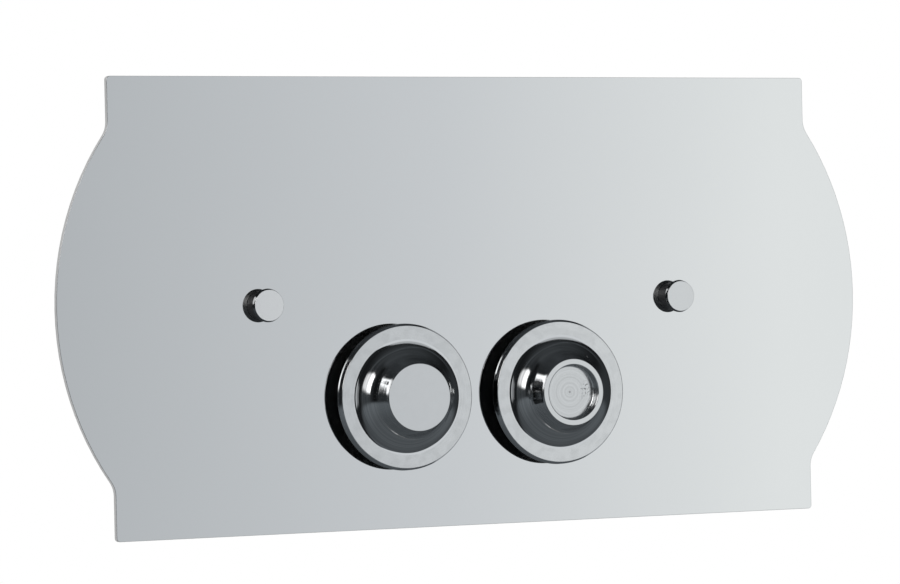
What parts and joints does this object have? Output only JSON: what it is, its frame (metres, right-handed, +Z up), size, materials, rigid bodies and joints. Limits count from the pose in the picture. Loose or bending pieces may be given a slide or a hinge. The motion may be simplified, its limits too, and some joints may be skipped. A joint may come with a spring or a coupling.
{
  "type": "flush button plate",
  "caption": "Polished wall plate with bowed ends for a concealed cistern: sprung mushroom buttons for full and half flush, capped fixing studs and push rods behind.",
  "frame": {"origin": "in the wall plane, half way between the two fixing studs", "axes": "+X to the right along the plate, +Y into the wall along the studs, +Z up"},
  "size_m": [0.2956, 0.0804, 0.15],
  "materials": {
    "plate_chrome": "mirror-polished chrome plate",
    "button_chrome": "turned and polished chrome",
    "cap_chrome": "polished chrome",
    "turned_brass": "as turned",
    "spring_steel": "drawn stainless wire",
    "zinc_steel": "bright zinc plate",
    "nylon_black": "black moulded nylon",
    "red_fibre": "pressed vulcanised fibre",
    "seal_foam": "closed-cell foam rubber",
    "tip_rubber": "moulded soft rubber"
  },
  "bodies": {
    "plate": {"face_plate": "plate_chrome", "wall_seal": "seal_foam", "fixing_stud_left": "zinc_steel", "cap_washer_left": "nylon_black", "fixing_cap_left": "cap_chrome", "fixing_stud_right": "zinc_steel", "cap_washer_right": "nylon_black", "fixing_cap_right": "cap_chrome", "full_flush_guide_bush": "turned_brass", "full_flush_bush_washer": "red_fibre", "full_flush_bush_nut": "turned_brass", "full_flush_return_spring": "spring_steel", "half_flush_guide_bush": "turned_brass", "half_flush_bush_washer": "red_fibre", "half_flush_bush_nut": "turned_brass", "half_flush_return_spring": "spring_steel"},
    "full_flush_plunger": {"full_flush_button": "button_chrome", "full_flush_stem": "turned_brass", "full_flush_stem_clip": "zinc_steel", "full_flush_push_rod": "zinc_steel", "full_flush_lock_nut": "zinc_steel", "full_flush_rod_tip": "tip_rubber"},
    "half_flush_plunger": {"half_flush_button": "button_chrome", "half_flush_stem": "turned_brass", "half_flush_stem_clip": "zinc_steel", "half_flush_push_rod": "zinc_steel", "half_flush_lock_nut": "zinc_steel", "half_flush_rod_tip": "tip_rubber"}
  },
  "joints": [
    {"name": "full_flush_press", "type": "slide", "parent": "plate", "child": "full_flush_plunger", "axis": [0, 1, 0], "range_m": [0, 0.0045], "stiffness_N_per_m": 930, "springref_m": -0.006, "deforming": ["full_flush_return_spring"]},
    {"name": "half_flush_press", "type": "slide", "parent": "plate", "child": "half_flush_plunger", "axis": [0, 1, 0], "range_m": [0, 0.0045], "stiffness_N_per_m": 930, "springref_m": -0.006, "deforming": ["half_flush_return_spring"]}
  ]
}
